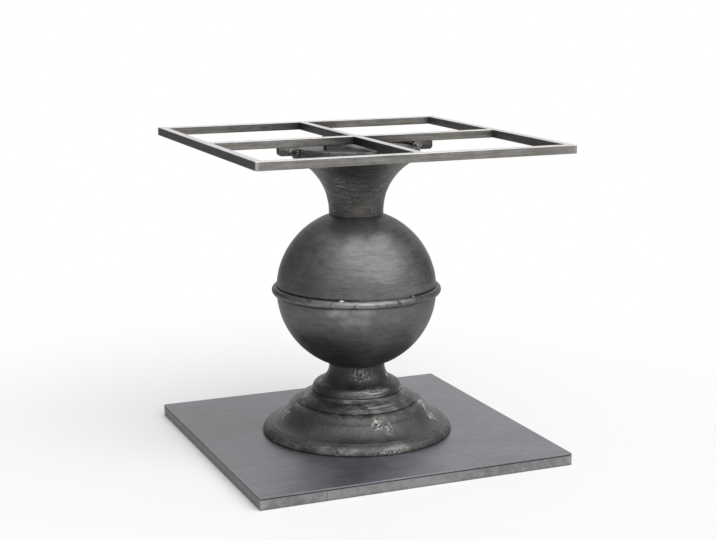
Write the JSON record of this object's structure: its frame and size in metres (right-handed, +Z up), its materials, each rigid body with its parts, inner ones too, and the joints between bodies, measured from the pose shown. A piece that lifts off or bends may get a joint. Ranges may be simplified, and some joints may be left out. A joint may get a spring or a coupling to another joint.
{
  "type": "pedestal table base",
  "caption": "Square steel frame on a cast capital, a banded steel ball and a moulded cast foot, standing on a square steel base.",
  "frame": {"origin": "bottom centre, on the floor under the column's axis", "axes": "+Z up along the column; the sides of the frame and of the base lie along X and Y, and -Y is the side on which the picture shows the halved cross rails end-on to the cross rail"},
  "size_m": [0.738, 0.738, 0.7223],
  "materials": {
    "frame_steel": "raw steel tube, brushed along its length, welds ground flush",
    "cast_iron": "dark waxed cast iron with rubbed edges",
    "ball_steel": "blackened steel, brushed round the column",
    "base_steel": "raw steel sheet and tube, satin with grinding marks",
    "zinc_steel": "zinc plated steel"
  },
  "bodies": {
    "root": {"rail_front": "frame_steel", "rail_back": "frame_steel", "rail_left": "frame_steel", "rail_right": "frame_steel", "cross_rail": "frame_steel", "half_rail_left": "frame_steel", "half_rail_right": "frame_steel", "packer_left": "cast_iron", "packer_right": "cast_iron", "top_plate": "base_steel", "capital": "cast_iron", "ball_top": "ball_steel", "ball_ring": "ball_steel", "ball_bottom": "ball_steel", "foot_casting": "cast_iron", "centre_pipe": "base_steel", "tie_rod": "zinc_steel", "nut_top": "zinc_steel", "washer_top": "zinc_steel", "nut_bottom": "zinc_steel", "washer_bottom": "zinc_steel", "base_sheet": "base_steel", "base_tube_front": "base_steel", "base_tube_back": "base_steel", "base_tube_left": "base_steel", "base_tube_right": "base_steel", "brace_left": "base_steel", "brace_right": "base_steel", "anchor_plate": "base_steel"}
  },
  "joints": []
}
